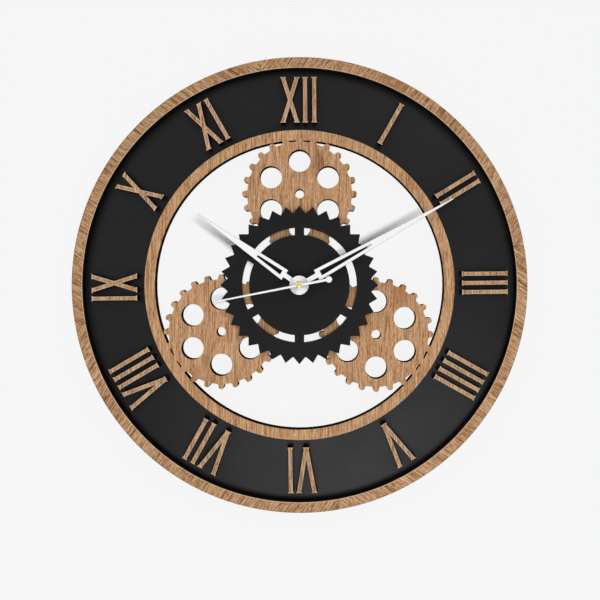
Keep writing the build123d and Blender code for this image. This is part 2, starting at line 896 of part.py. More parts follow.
def third_wheel():
    body = wheel(third_wheel_teeth, second_module, facing(third_angle, third_wheel_teeth), 2, third_place)
    body = body + pinion(third_pinion_teeth, third_module, third_angle + 180, 2, third_place)
    return body + disc(arbor_radius, arbor_back, arbor_front, third_place)


def center_wheel():
    tooth_at = facing(third_angle + 180, center_wheel_teeth)
    body = wheel(center_wheel_teeth, third_module, tooth_at, 3)
    return body - disc(minute_tube_radius + running_clearance, layer(3), layer(3) + wheel_thickness)


# Minute arbor: a tube with the cannon pinion, held in the center wheel by friction
def minute_arbor():
    back = layer(3) - pinion_overrun
    front = minute_hand_back + hand_thickness
    cannon_back = layer(4) - pinion_overrun
    cannon_front = layer(4) + wheel_thickness + pinion_overrun
    body = toothed(cannon_pinion_teeth, cannon_module, motion_angle, cannon_back, cannon_front)
    body = body + disc(minute_tube_radius, back, front)
    return body - disc(second_arbor_radius + running_clearance, back, front)


def minute_wheel():
    body = wheel(minute_wheel_teeth, cannon_module, facing(motion_angle, minute_wheel_teeth), 4, motion_place)
    body = body + pinion(minute_pinion_teeth, motion_module, motion_angle + 180, 4, motion_place)
    return body + disc(arbor_radius, knob_recess, arbor_front, motion_place)


def hour_wheel():
    front = hour_hand_back + hand_thickness
    body = wheel(hour_wheel_teeth, motion_module, facing(motion_angle + 180, hour_wheel_teeth), 5)
    body = body + disc(hour_tube_radius, layer(5), front)
    return body - disc(minute_tube_radius + running_clearance, layer(5), front)


single_pieces = [
    base_ring,
    gear_frame,
    center_gear,
    hour_hand,
    minute_hand,
    second_hand,
    second_hand_eyelet,
    hex_nut,
    washer,
    gasket,
    hanger,
    keyhole_plate,
    movement_case,
    rear_cover,
    setting_knob,
    battery,
    positive_contact,
    negative_contact,
    circuit_board,
    driver_chip,
    quartz_crystal,
    coil,
    coil_bobbin,
    coil_core,
    stator,
    rotor_magnet,
    rotor_pinion,
    intermediate_wheel,
    second_wheel,
    third_wheel,
    center_wheel,
    minute_arbor,
    minute_wheel,
    hour_wheel,
]
for piece in single_pieces:
    save(piece.__name__, piece())

for number in range(trim_count):
    save(f"outer_trim_{number + 1}", trim_segment(number))

for number, letters in enumerate(hour_letters, start=1):
    save(f"numeral_{number:02d}", numeral(number, letters))

print("wood front", round(wood_front, 3), "keyhole height", round(keyhole_height, 3))
print("case half width", round(case_half_width, 3), "case top", round(case_top, 3))
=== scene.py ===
from math import atan2, cos, degrees, pi, radians, sin

import bpy
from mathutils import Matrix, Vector


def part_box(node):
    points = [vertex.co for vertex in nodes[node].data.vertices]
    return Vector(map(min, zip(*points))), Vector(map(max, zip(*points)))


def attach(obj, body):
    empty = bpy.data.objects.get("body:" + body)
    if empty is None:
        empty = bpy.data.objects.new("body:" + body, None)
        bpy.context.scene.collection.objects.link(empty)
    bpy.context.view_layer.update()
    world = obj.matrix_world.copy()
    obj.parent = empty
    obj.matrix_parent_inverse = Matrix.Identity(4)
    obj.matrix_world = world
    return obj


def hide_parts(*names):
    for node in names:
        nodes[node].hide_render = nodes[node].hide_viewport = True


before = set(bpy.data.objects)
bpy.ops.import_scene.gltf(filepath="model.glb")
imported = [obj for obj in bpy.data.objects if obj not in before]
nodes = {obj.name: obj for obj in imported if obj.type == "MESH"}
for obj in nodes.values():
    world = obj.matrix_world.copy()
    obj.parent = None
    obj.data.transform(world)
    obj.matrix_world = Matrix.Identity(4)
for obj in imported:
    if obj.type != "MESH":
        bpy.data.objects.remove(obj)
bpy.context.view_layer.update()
print("frame loaded:", len(nodes), "nodes")


# colours are written as screen values from 0 to 255, and the sockets take linear ones
def tone(red, green, blue):
    def linear(value):
        share = value / 255
        return share / 12.92 if share <= 0.04045 else ((share + 0.055) / 1.055) ** 2.4
    return (linear(red), linear(green), linear(blue), 1.0)


def grey(value):
    return (value, value, value, 1.0)


def startMaterial(name):
    material = bpy.data.materials.new(name)
    material.use_nodes = True
    return material, material.node_tree, material.node_tree.nodes["Principled BSDF"]


# gives a socket its number or colour, or links the socket that feeds it
def feed(tree, socket, value):
    if isinstance(value, bpy.types.NodeSocket):
        tree.links.new(value, socket)
    else:
        socket.default_value = value


def addNode(tree, kind, inputs=None, **settings):
    node = tree.nodes.new(kind)
    for key, value in settings.items():
        setattr(node, key, value)
    for key, value in (inputs or {}).items():
        feed(tree, node.inputs[key], value)
    return node


def setShader(tree, shader, inputs):
    for key, value in inputs.items():
        feed(tree, shader.inputs[key], value)


# a point's place on the object, and the way that its face looks
def objectCoords(tree):
    coords = addNode(tree, "ShaderNodeTexCoord")
    return coords.outputs["Object"], coords.outputs["Normal"]


# how far a face looks along the clock axis: -1 towards the viewer, 1 towards the wall
def facing(tree, normal):
    return addNode(tree, "ShaderNodeSeparateXYZ", {"Vector": normal}).outputs["Y"]


# ramps over how far a face looks one way: from none to all of an eased edge, a flat or a back
faceStops = {
    "eased": ((0.25, 0.0), (0.40, 1.0)),
    "flat": ((0.90, 0.0), (0.97, 1.0)),
    "back": ((0.35, 0.0), (0.75, 1.0)),
}


def mathNode(tree, operation, first, second=0.0, third=0.0):
    inputs = {0: first, 1: second, 2: third}
    return addNode(tree, "ShaderNodeMath", inputs, operation=operation).outputs["Value"]


def vectorNode(tree, operation, first, second=(0, 0, 0), result="Vector"):
    node = addNode(tree, "ShaderNodeVectorMath", {0: first, 1: second}, operation=operation)
    return node.outputs[result]


mixSockets = {"factor": 0, "first": 6, "second": 7, "result": 2}    # where the mix node keeps its colours


def mixColours(tree, factor, first, second, blend="MIX"):
    inputs = {mixSockets["factor"]: factor, mixSockets["first"]: first, mixSockets["second"]: second}
    node = addNode(tree, "ShaderNodeMix", inputs, data_type="RGBA", blend_type=blend)
    return node.outputs[mixSockets["result"]]


# each stop is a place from 0 to 1 and a colour
def rampNode(tree, factor, stops, interpolation="LINEAR"):
    node = addNode(tree, "ShaderNodeValToRGB", {"Fac": factor})
    ramp = node.color_ramp
    ramp.interpolation = interpolation
    while len(ramp.elements) < len(stops):
        ramp.elements.new(0.5)
    for element, (place, colour) in zip(ramp.elements, stops):
        element.position = place
        element.color = colour
    return node.outputs["Color"]


# the same with plain shares for colours
def shareRamp(tree, factor, *stops, interpolation="LINEAR"):
    return rampNode(tree, factor, [(place, grey(share)) for place, share in stops], interpolation)


# noise whose cells have the given size in metres
def drawnNoise(tree, vector, size, detail=3.0, roughness=0.55):
    scale = tuple(1 / side for side in size)
    scaled = addNode(tree, "ShaderNodeMapping", {"Vector": vector, "Scale": scale}).outputs["Vector"]
    noise = addNode(tree, "ShaderNodeTexNoise", {
        "Vector": scaled, "Scale": 1.0, "Detail": detail, "Roughness": roughness})
    return noise.outputs["Fac"]


def evenNoise(tree, vector, cell, detail=3.0, roughness=0.55):
    return drawnNoise(tree, vector, (cell, cell, cell), detail, roughness)


def addBump(tree, shader, height, depth):
    bump = addNode(tree, "ShaderNodeBump", {"Height": height, "Distance": depth, "Strength": 1.0})
    tree.links.new(bump.outputs["Normal"], shader.inputs["Normal"])


oakLayers = {   # a cell's size across and along the grain in metres, then its detail and roughness
    "wave": (0.030, 0.070, 1.0, 0.55),
    "figure": (0.020, 0.21, 1.0, 0.40),
    "band": (0.0075, 0.12, 2.0, 0.60),
    "streak": (0.0010, 0.022, 3.0, 0.60),
    "fibre": (0.0006, 0.0038, 3.0, 0.60),
    "pore": (0.0008, 0.010, 2.0, 0.50),
    "bold": (0.0060, 0.30, 1.0, 0.30),
    "cloud": (0.050, 0.085, 2.0, 0.50),
    "knotEdge": (0.030, 0.070, 3.0, 0.55),
}
oak = {
    "dark": tone(130, 90, 62), "brown": tone(162, 121, 88),
    "middle": tone(185, 145, 110), "light": tone(212, 177, 142),
    "line": tone(108, 70, 45),          # dark growth lines and pores
    "cloudBrown": tone(148, 98, 66),    # soft clouds in the sheet
    "knotShade": tone(218, 207, 212),   # what a knot leaves of the colour
    # the pale edge colour is a painted highlight for eased edges; burnt and ember are the laser's scorch
    "burnt": tone(17, 13, 11), "ember": tone(34, 26, 20), "scorchAndHighlight": tone(236, 208, 176),
    "board": tone(176, 142, 108), "boardDark": tone(104, 76, 54),
    "through": 0.3,                     # size of the grain's cells through the sheet
    "wander": 0.004, "rings": 11.0, "ragged": 0.8,
    "growthShare": 0.16, "shares": {"band": 0.15, "streak": 1.50, "fibre": 1.20},
    "levelShare": 1.38,                 # about what these three add up to on average
    "poreShare": 0.42, "boldShare": 0.50, "poreSink": 0.7,
    # ramps: a place in the noise and the share there
    "growth": ((0.0, 0.0), (0.55, 0.2), (0.88, 1.0), (1.0, 0.0)),
    "clouds": ((0.60, 0.0), (0.76, 0.55)), "knotFade": ((0.60, 1.0), (1.0, 0.0)),
    "pores": ((0.60, 0.0), (0.70, 1.0)), "fibreRough": ((0.3, 0.62), (0.7, 0.48)),
    "boldLines": ((0.355, 0.0), (0.37, 1.0), (0.385, 0.0), (0.62, 0.0), (0.632, 0.8), (0.645, 0.0)),
    "charCell": (0.002, 0.02, 0.002), "boardSpeck": 0.0011, "boardCloud": 0.018, "boardMix": 0.5,
    "sideSlant": 0.01, "jointSlant": 0.03, "bumpDepth": 0.00005,
}


# the printed face of a sheet: its colour, and the fibre and pores for its relief
def oakFace(tree, place, sheet):
    depth = sheet["depth"]
    turned = addNode(tree, "ShaderNodeMapping", {
        "Vector": place, "Location": sheet["shift"],
        "Rotation": (0, radians(sheet["angle"] - 90), 0)}).outputs["Vector"]

    def grain(layer, vector):
        across, length, detail, roughness = oakLayers[layer]
        return drawnNoise(tree, vector, (across, oak["through"], length), detail, roughness)

    # the grain wanders a little from side to side
    drift = mathNode(tree, "MULTIPLY_ADD", grain("wave", turned), oak["wander"], -oak["wander"] / 2)
    sideways = addNode(tree, "ShaderNodeCombineXYZ", {"X": drift}).outputs["Vector"]
    along = vectorNode(tree, "ADD", turned, sideways)
    phase = mathNode(tree, "MULTIPLY", grain("figure", along), oak["rings"])
    ring = mathNode(tree, "FRACT", phase)
    growth = shareRamp(tree, ring, *oak["growth"])
    level = 0.5 - depth * oak["levelShare"]     # keeps the middle tone at any depth
    mixed = mathNode(tree, "MULTIPLY_ADD", growth, -oak["growthShare"], level)
    layers = {name: grain(name, along) for name in oak["shares"]}
    for name, share in oak["shares"].items():
        mixed = mathNode(tree, "MULTIPLY_ADD", layers[name], share * depth, mixed)
    colour = rampNode(tree, mixed, [
        (0.10, oak["dark"]), (0.33, oak["brown"]), (0.52, oak["middle"]), (0.86, oak["light"])])
    cloud = shareRamp(tree, grain("cloud", along), *oak["clouds"])
    colour = mixColours(tree, cloud, colour, oak["cloudBrown"])
    # a knot darkens the grain round it, with a ragged edge
    for knot in sheet.get("knots", ()):
        away = vectorNode(tree, "SUBTRACT", place, knot["middle"])
        reach = vectorNode(tree, "DIVIDE", away, knot["size"])
        distance = vectorNode(tree, "LENGTH", reach, result="Value")
        edge = mathNode(tree, "MULTIPLY_ADD", grain("knotEdge", turned), oak["ragged"], distance)
        share = shareRamp(tree, edge, *oak["knotFade"])
        colour = mixColours(tree, share, colour, oak["knotShade"], "MULTIPLY")
    pore = shareRamp(tree, grain("pore", along), *oak["pores"])
    bold = shareRamp(tree, grain("bold", along), *oak["boldLines"])
    for lines, share in ((pore, oak["poreShare"]), (bold, oak["boldShare"])):
        colour = mixColours(tree, mathNode(tree, "MULTIPLY", lines, share * depth), colour, oak["line"])
    # a lighter, darker or paler batch of the same sheet; the gain is partly painted light, making a whole
    # piece lighter or darker for how light falls on it
    batchAndLightLevel = addNode(tree, "ShaderNodeHueSaturation", {
        "Color": colour, "Value": sheet["gain"], "Saturation": sheet["saturation"]})
    return batchAndLightLevel.outputs["Color"], layers["fibre"], pore


# eased edges get a painted highlight or are scorched, by the side that they look to
def oakEdgeScorchAndHighlight(tree, place, normal, sheet, face, burnt):
    outward = vectorNode(tree, "MULTIPLY", place, (1, 0, 1))
    side = vectorNode(tree, "DOT_PRODUCT", normal, outward, "Value")
    highlightShare = addNode(tree, "ShaderNodeMapRange", {
        "Value": side, "From Min": -oak["sideSlant"], "From Max": oak["sideSlant"],
        "To Min": sheet["paintedHighlightInside"], "To Max": sheet["paintedHighlightOutside"]}).outputs["Result"]
    scorchAndHighlight = mixColours(tree, highlightShare, burnt, oak["scorchAndHighlight"])
    if not sheet.get("plainJoints"):
        return scorchAndHighlight
    # joints look along the ring, and keep the colour of the face
    offJoint = mathNode(tree, "GREATER_THAN", mathNode(tree, "ABSOLUTE", side), oak["jointSlant"])
    return mixColours(tree, offJoint, face, scorchAndHighlight)


# printed oak board: the laser leaves its cut walls burnt, and pressed fibre shows on the back
def oakVeneer(name, sheet):
    material, tree, shader = startMaterial(name)
    place, normal = objectCoords(tree)
    face, fibre, pore = oakFace(tree, place, sheet)
    char = drawnNoise(tree, place, oak["charCell"], 2.0)
    burnt = mixColours(tree, char, oak["burnt"], oak["ember"])
    scorchAndHighlight = oakEdgeScorchAndHighlight(tree, place, normal, sheet, face, burnt)
    speck = evenNoise(tree, place, oak["boardSpeck"], 4.0, 0.7)
    cloud = evenNoise(tree, place, oak["boardCloud"], 2.0)
    centred = mathNode(tree, "SUBTRACT", speck, oak["boardMix"] / 2)
    pressed = mathNode(tree, "MULTIPLY_ADD", cloud, oak["boardMix"], centred)
    board = rampNode(tree, pressed, [(0.30, oak["boardDark"]), (0.50, oak["brown"]), (0.68, oak["board"])])
    toWall = facing(tree, normal)
    toViewer = mathNode(tree, "MULTIPLY", toWall, -1.0)
    eased = shareRamp(tree, toViewer, *faceStops["eased"])
    flat = shareRamp(tree, toViewer, *faceStops["flat"])
    back = shareRamp(tree, toWall, *faceStops["back"])
    colour = mixColours(tree, flat, mixColours(tree, eased, burnt, scorchAndHighlight), face)
    setShader(tree, shader, {
        "Base Color": mixColours(tree, back, colour, board),
        "Roughness": shareRamp(tree, fibre, *oak["fibreRough"]),
        "Specular IOR Level": 0.0})
    height = mathNode(tree, "SUBTRACT", fibre, mathNode(tree, "MULTIPLY", pore, oak["poreSink"]))
    addBump(tree, shader, height, oak["bumpDepth"])
    return material


# cell sizes are in metres
blackPaint = {
    "cloud": 0.05, "speck": 0.0015, "orangePeel": 0.0007, "roughSpread": 0.05, "bumpDepth": 0.000012,
}


def satinBlack(name, paint):
    material, tree, shader = startMaterial(name)
    place = objectCoords(tree)[0]
    cloud = evenNoise(tree, place, blackPaint["cloud"])
    speck = evenNoise(tree, place, blackPaint["speck"], 2.0)
    worn = mathNode(tree, "MULTIPLY", cloud, speck)
    smooth = paint["roughness"] - blackPaint["roughSpread"]
    rough = paint["roughness"] + blackPaint["roughSpread"]
    setShader(tree, shader, {
        "Base Color": mixColours(tree, worn, paint["deep"], paint["worn"]),
        "Roughness": shareRamp(tree, cloud, (0.3, smooth), (0.7, rough)),
        "Specular IOR Level": paint["gloss"]})
    addBump(tree, shader, evenNoise(tree, place, blackPaint["orangePeel"], 2.0), blackPaint["bumpDepth"])
    return material


handPaint = {
    # edge: painted shade for the hands' eased outline
    "white": tone(246, 246, 246), "shade": tone(240, 240, 241), "edge": tone(150, 150, 152),
    "lacquerCell": 0.004, "lacquerRough": 0.42, "lacquerRelief": 0.3, "gloss": 0.3,
    "hubRadius": 0.0082, "hubMetal": 0.75, "hubTint": tone(196, 196, 194),
    "turning": 0.85, "turnsPerMetre": 9000.0, "turnedRough": 0.24, "turnedSpread": 0.12,
    "bumpDepth": 0.000012,
}


# white lacquer on the blades; a hub disc is left as turned metal with rings round the axis
def whiteHands(name, hubRadius=None):
    material, tree, shader = startMaterial(name)
    place, normal = objectCoords(tree)
    lacquer = evenNoise(tree, place, handPaint["lacquerCell"], 2.0)
    colour = mixColours(tree, lacquer, handPaint["white"], handPaint["shade"])
    # the eased edges are painted grey: a painted shade along the hands' outline
    level = mathNode(tree, "ABSOLUTE", facing(tree, normal))
    unshadedFace = shareRamp(tree, level, *faceStops["flat"])
    colour = mixColours(tree, unshadedFace, handPaint["edge"], colour)
    height = mathNode(tree, "MULTIPLY", lacquer, handPaint["lacquerRelief"])
    rough = handPaint["lacquerRough"]
    # brush and turning marks spread the light along the radius
    fromAxis = vectorNode(tree, "MULTIPLY", place, (1, 0, 1))
    spread = addNode(
        tree, "ShaderNodeVectorTransform", {"Vector": fromAxis}, convert_from="OBJECT", convert_to="WORLD")
    if hubRadius:
        radius = vectorNode(tree, "LENGTH", fromAxis, result="Value")
        hub = mathNode(tree, "LESS_THAN", radius, hubRadius)
        turns = mathNode(tree, "MULTIPLY", radius, handPaint["turnsPerMetre"])
        turned = addNode(tree, "ShaderNodeTexNoise", {
            "W": turns, "Scale": 1.0, "Detail": 2.0}, noise_dimensions="1D").outputs["Fac"]
        turnedRough = mathNode(
            tree, "MULTIPLY_ADD", turned, handPaint["turnedSpread"], handPaint["turnedRough"])
        change = mathNode(tree, "SUBTRACT", turnedRough, handPaint["lacquerRough"])
        rough = mathNode(tree, "MULTIPLY_ADD", change, hub, handPaint["lacquerRough"])
        colour = mixColours(tree, hub, colour, handPaint["hubTint"])
        height = mathNode(tree, "MULTIPLY_ADD", turned, hub, height)
        feed(tree, shader.inputs["Metallic"], mathNode(tree, "MULTIPLY", hub, handPaint["hubMetal"]))
    setShader(tree, shader, {
        "Base Color": colour, "Roughness": rough, "Specular IOR Level": handPaint["gloss"],
        "Tangent": spread.outputs["Vector"], "Anisotropic": handPaint["turning"]})
    addBump(tree, shader, height, handPaint["bumpDepth"])
    return material


metalSkin = {"smooth": 0.7, "rough": 1.3, "bumpDepth": 0.00001}


# one function for the plain metals: streaked or mottled, with its own tint
def brightMetal(name, metal):
    material, tree, shader = startMaterial(name)
    mottle = drawnNoise(tree, objectCoords(tree)[0], metal["cells"], 4.0, 0.6)
    smooth = metal["roughness"] * metalSkin["smooth"]
    rough = metal["roughness"] * metalSkin["rough"]
    setShader(tree, shader, {
        "Base Color": mixColours(tree, mottle, metal["bright"], metal["dark"]),
        "Roughness": shareRamp(tree, mottle, (0.25, smooth), (0.75, rough)),
        "Metallic": 1.0})
    addBump(tree, shader, mottle, metalSkin["bumpDepth"])
    return material


plasticSkin = {"flow": (0.02, 0.02, 0.006), "roughSpread": 0.08}


# moulded plastic: spark-textured skin with soft flow marks
def mouldedPlastic(name, plastic):
    material, tree, shader = startMaterial(name)
    place = objectCoords(tree)[0]
    flow = drawnNoise(tree, place, plasticSkin["flow"])
    skin = evenNoise(tree, place, plastic["grain"], 3.0, 0.65)
    rough = plastic["roughness"] + plasticSkin["roughSpread"]
    smooth = plastic["roughness"] - plasticSkin["roughSpread"]
    setShader(tree, shader, {
        "Base Color": mixColours(tree, flow, plastic["base"], plastic["shade"]),
        "Roughness": shareRamp(tree, skin, (0.3, rough), (0.7, smooth))})
    addBump(tree, shader, skin, plastic["bumpDepth"])
    return material


# the dark colour between the wire's turns is painted shade in the crevices
copper = {
    "gapShade": tone(96, 40, 20), "wire": tone(190, 98, 52), "turns": 1500.0, "uneven": 0.6,
    "metal": 0.85, "roughness": 0.32, "bumpDepth": 0.00008,
}


def copperWinding(name):
    material, tree, shader = startMaterial(name)
    turns = addNode(tree, "ShaderNodeTexWave", {
        "Vector": objectCoords(tree)[0], "Scale": copper["turns"], "Distortion": copper["uneven"],
        "Detail": 1.0}, wave_type="BANDS", bands_direction="X").outputs["Fac"]
    setShader(tree, shader, {
        "Base Color": rampNode(tree, turns, [(0.1, copper["gapShade"]), (0.6, copper["wire"])]),
        "Metallic": copper["metal"], "Roughness": copper["roughness"]})
    addBump(tree, shader, turns, copper["bumpDepth"])
    return material


circuit = {
    "mask": tone(24, 84, 48), "maskLight": tone(30, 98, 58),
    "track": tone(58, 134, 84), "weave": tone(18, 60, 36),
    "scale": 260.0, "trackWidth": 0.03, "fieldWidth": 0.9, "fieldHeight": 0.4,
    "weaveCell": 0.0004, "weaveShare": 0.3, "roughness": 0.35, "bumpDepth": 0.00003,
}


def solderMask(name):
    material, tree, shader = startMaterial(name)
    place = objectCoords(tree)[0]
    flat = addNode(tree, "ShaderNodeMapping", {"Vector": place, "Rotation": (radians(90), 0, 0)})
    tracks = addNode(tree, "ShaderNodeTexBrick", {
        "Vector": flat.outputs["Vector"], "Color1": circuit["mask"], "Color2": circuit["maskLight"],
        "Mortar": circuit["track"], "Scale": circuit["scale"], "Mortar Size": circuit["trackWidth"],
        "Brick Width": circuit["fieldWidth"], "Row Height": circuit["fieldHeight"]})
    weave = evenNoise(tree, place, circuit["weaveCell"], 2.0)
    weaveShare = mathNode(tree, "MULTIPLY", weave, circuit["weaveShare"])
    setShader(tree, shader, {
        "Base Color": mixColours(tree, weaveShare, tracks.outputs["Color"], circuit["weave"]),
        "Roughness": circuit["roughness"]})
    addBump(tree, shader, tracks.outputs["Fac"], circuit["bumpDepth"])
    return material


battery = {
    "sleeve": tone(44, 48, 52), "band": tone(176, 122, 62), "steel": tone(196, 196, 198),
    "sleeveStart": 0.016, "bandStart": 0.70, "bandEnd": 0.955,      # shares of the length
    "scuff": tone(120, 118, 114), "scuffCell": (0.012, 0.002, 0.002), "scuffShare": 0.25,
    "sleeveMetal": 0.35, "smooth": 0.28, "rough": 0.42, "bumpDepth": 0.00001,
}


# plain sleeve with one coloured band, bare steel at both ends
def batterySleeve(name):
    material, tree, shader = startMaterial(name)
    place = objectCoords(tree)[0]
    low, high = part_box("battery")
    across = addNode(tree, "ShaderNodeSeparateXYZ", {"Vector": place}).outputs["X"]
    length = addNode(tree, "ShaderNodeMapRange", {
        "Value": across, "From Min": low.x, "From Max": high.x}).outputs["Result"]
    colour = rampNode(tree, length, [
        (0.0, battery["steel"]), (battery["sleeveStart"], battery["sleeve"]),
        (battery["bandStart"], battery["band"]), (battery["bandEnd"], battery["steel"])], "CONSTANT")
    scuff = drawnNoise(tree, place, battery["scuffCell"], 4.0)
    scuffShare = mathNode(tree, "MULTIPLY", scuff, battery["scuffShare"])
    metal = shareRamp(
        tree, length, (0.0, 1.0), (battery["sleeveStart"], battery["sleeveMetal"]),
        (battery["bandEnd"], 1.0), interpolation="CONSTANT")
    setShader(tree, shader, {
        "Base Color": mixColours(tree, scuffShare, colour, battery["scuff"]), "Metallic": metal,
        "Roughness": shareRamp(tree, scuff, (0.3, battery["smooth"]), (0.7, battery["rough"]))})
    addBump(tree, shader, scuff, battery["bumpDepth"])
    return material


# the sheets that the wood was cut from: the grain's angle seen from the front, where on the sheet it lies,
# how light, bold and colourful it is, and how much painted highlight its eased edges get on either side
trimSheet = {"depth": 2.1, "saturation": 1.06, "paintedHighlightInside": 0.9, "paintedHighlightOutside": 0.1, "plainJoints": True}
# the trims' gains differ partly as painted light: the lighter piece stands in for where more light falls
trimCuts = {
    "outer_trim_1": {"angle": 55.2, "shift": (0.31, 0.0, 0.12), "gain": 0.90},
    "outer_trim_2": {"angle": -34.8, "shift": (0.83, 0.0, 0.41), "gain": 0.89},
    "outer_trim_3": {"angle": 55.2, "shift": (1.37, 0.0, 0.77), "gain": 0.90},
    "outer_trim_4": {"angle": -34.8, "shift": (1.91, 0.0, 0.23), "gain": 0.97},
}
# the knot lies between two holes of the top gear
topKnot = {"middle": (0.0162, 0.0, 0.1080), "size": (0.0125, 1.0, 0.0210)}
gearSheet = {
    "angle": 90.0, "shift": (0.07, 0.0, 0.05), "gain": 1.04, "depth": 1.12, "saturation": 1.05,
    "paintedHighlightInside": 0.0, "paintedHighlightOutside": 0.5, "knots": (topKnot,),
}
numeralSheet = {
    "angle": 90.0, "shift": (0.55, 0.0, 0.9), "gain": 0.97, "depth": 1.6, "saturation": 1.02,
    "paintedHighlightInside": 0.8, "paintedHighlightOutside": 0.8,
}
dialPaint = {"deep": tone(14, 12, 12), "worn": tone(23, 21, 21), "roughness": 0.38, "gloss": 0.175}
gearPaint = {"deep": tone(24, 23, 24), "worn": tone(33, 32, 33), "roughness": 0.55, "gloss": 0.08}
# each metal and each plastic names the nodes that carry it
metals = {
    "polished_brass": {
        "bright": tone(214, 203, 104), "dark": tone(186, 170, 74), "roughness": 0.22,
        "cells": (0.002, 0.002, 0.002),
        "nodes": ("second_hand_eyelet", "hex_nut", "washer", "minute_arbor")},
    "zinc_plate": {
        "bright": tone(205, 206, 208), "dark": tone(168, 170, 174), "roughness": 0.34,
        "cells": (0.004, 0.004, 0.0015),
        "nodes": ("hanger", "keyhole_plate", "positive_contact", "negative_contact", "quartz_crystal",
                  "coil_core", "stator")},
    "sintered_magnet": {
        "bright": tone(92, 92, 96), "dark": tone(60, 60, 63), "roughness": 0.5,
        "cells": (0.0004, 0.0004, 0.0004), "nodes": ("rotor_magnet",)},
}
plastics = {
    "movement_black": {
        "base": tone(30, 30, 31), "shade": tone(38, 38, 39), "roughness": 0.52,
        "grain": 0.0004, "bumpDepth": 0.00003, "nodes": ("movement_case", "rear_cover", "setting_knob")},
    "wheel_white": {
        "base": tone(228, 226, 218), "shade": tone(214, 212, 204), "roughness": 0.40,
        "grain": 0.0008, "bumpDepth": 0.00001,
        "nodes": ("coil_bobbin", "rotor_pinion", "intermediate_wheel", "second_wheel", "third_wheel",
                  "center_wheel", "minute_wheel", "hour_wheel")},
    "gasket_rubber": {
        "base": tone(32, 32, 32), "shade": tone(44, 43, 42), "roughness": 0.8,
        "grain": 0.0003, "bumpDepth": 0.00004, "nodes": ("gasket",)},
    "chip_resin": {
        "base": tone(16, 16, 17), "shade": tone(26, 26, 27), "roughness": 0.22,
        "grain": 0.003, "bumpDepth": 0.00008, "nodes": ("driver_chip",)},
}
numeralNames = [f"numeral_{hour:02d}" for hour in range(1, 13)]


def dress(material, *names):
    for name in names:
        nodes[name].data.materials.clear()
        nodes[name].data.materials.append(material)
    return len(names)


dressed = 0
for name, cut in trimCuts.items():
    dressed += dress(oakVeneer(f"oak_{name}", {**trimSheet, **cut}), name)
dressed += dress(oakVeneer("oak_gear_sheet", gearSheet), "gear_frame")
dressed += dress(oakVeneer("oak_numerals", numeralSheet), *numeralNames)
dressed += dress(satinBlack("black_dial_paint", dialPaint), "base_ring")
dressed += dress(satinBlack("black_gear_paint", gearPaint), "center_gear")
dressed += dress(whiteHands("white_minute_lacquer", handPaint["hubRadius"]), "minute_hand")
dressed += dress(whiteHands("white_hand_lacquer"), "hour_hand", "second_hand")
for name, metal in metals.items():
    dressed += dress(brightMetal(name, metal), *metal["nodes"])
for name, plastic in plastics.items():
    dressed += dress(mouldedPlastic(name, plastic), *plastic["nodes"])
dressed += dress(solderMask("board_mask"), "circuit_board")
dressed += dress(copperWinding("coil_copper"), "coil")
dressed += dress(batterySleeve("battery_sleeve"), "battery")
print("finishes set:", dressed, "of", len(nodes))

# sawn, stamped and moulded edges are eased a little, by these widths in metres
easedEdges = {
    "gear_frame": 0.00022, "base_ring": 0.0003,
    "hour_hand": 0.0003, "minute_hand": 0.0003, "second_hand": 0.00018,
    "movement_case": 0.0003, "rear_cover": 0.0002,
    "hanger": 0.00015, "keyhole_plate": 0.00015, "hex_nut": 0.0003, "washer": 0.00015,
}
for name in trimCuts:
    easedEdges[name] = 0.0006
for name in numeralNames:
    easedEdges[name] = 0.0005
easing = {"weld": 0.000002, "flatAngle": radians(0.8), "sharpAngle": radians(40), "segments": 2}
# the mesh is welded and its flats merged first
for name, width in easedEdges.items():
    node = nodes[name]
    weld = node.modifiers.new("weld", "WELD")
    weld.merge_threshold = easing["weld"]
    flats = node.modifiers.new("flats", "DECIMATE")
    flats.decimate_type = "DISSOLVE"
    flats.angle_limit = easing["flatAngle"]
    ease = node.modifiers.new("ease", "BEVEL")
    ease.width = width
    ease.segments = easing["segments"]
    ease.limit_method = "ANGLE"
    ease.angle_limit = easing["sharpAngle"]
    ease.use_clamp_overlap = False
print("edges eased:", len(easedEdges))


# a turned piece: a circle drawn out ring by ring along the clock axis, closed at both ends
# each ring is a distance in front of the first one and a radius
def turnPiece(name, startY, rings, sides, smoothAngle):
    bpy.ops.object.select_all(action="DESELECT")
    bpy.ops.mesh.primitive_circle_add(
        vertices=sides, radius=rings[0][1], fill_type="NGON",
        location=(0, startY, 0), rotation=(radians(90), 0, 0))
    piece = bpy.context.object
    piece.name = name
    bpy.ops.object.mode_set(mode="EDIT")
    bpy.ops.mesh.select_all(action="SELECT")
    for (lastRise, lastRadius), (rise, radius) in zip(rings, rings[1:]):
        bpy.ops.mesh.extrude_region_move(TRANSFORM_OT_translate={"value": (0, lastRise - rise, 0)})
        grow = radius / lastRadius
        bpy.ops.transform.resize(value=(grow, 1, grow), center_override=(0, startY - rise, 0))
    bpy.ops.mesh.select_all(action="SELECT")
    bpy.ops.mesh.normals_make_consistent(inside=False)
    bpy.ops.object.mode_set(mode="OBJECT")
    bpy.ops.object.transform_apply(location=True, rotation=True, scale=True)
    bpy.ops.object.shade_smooth_by_angle(angle=smoothAngle)
    return piece


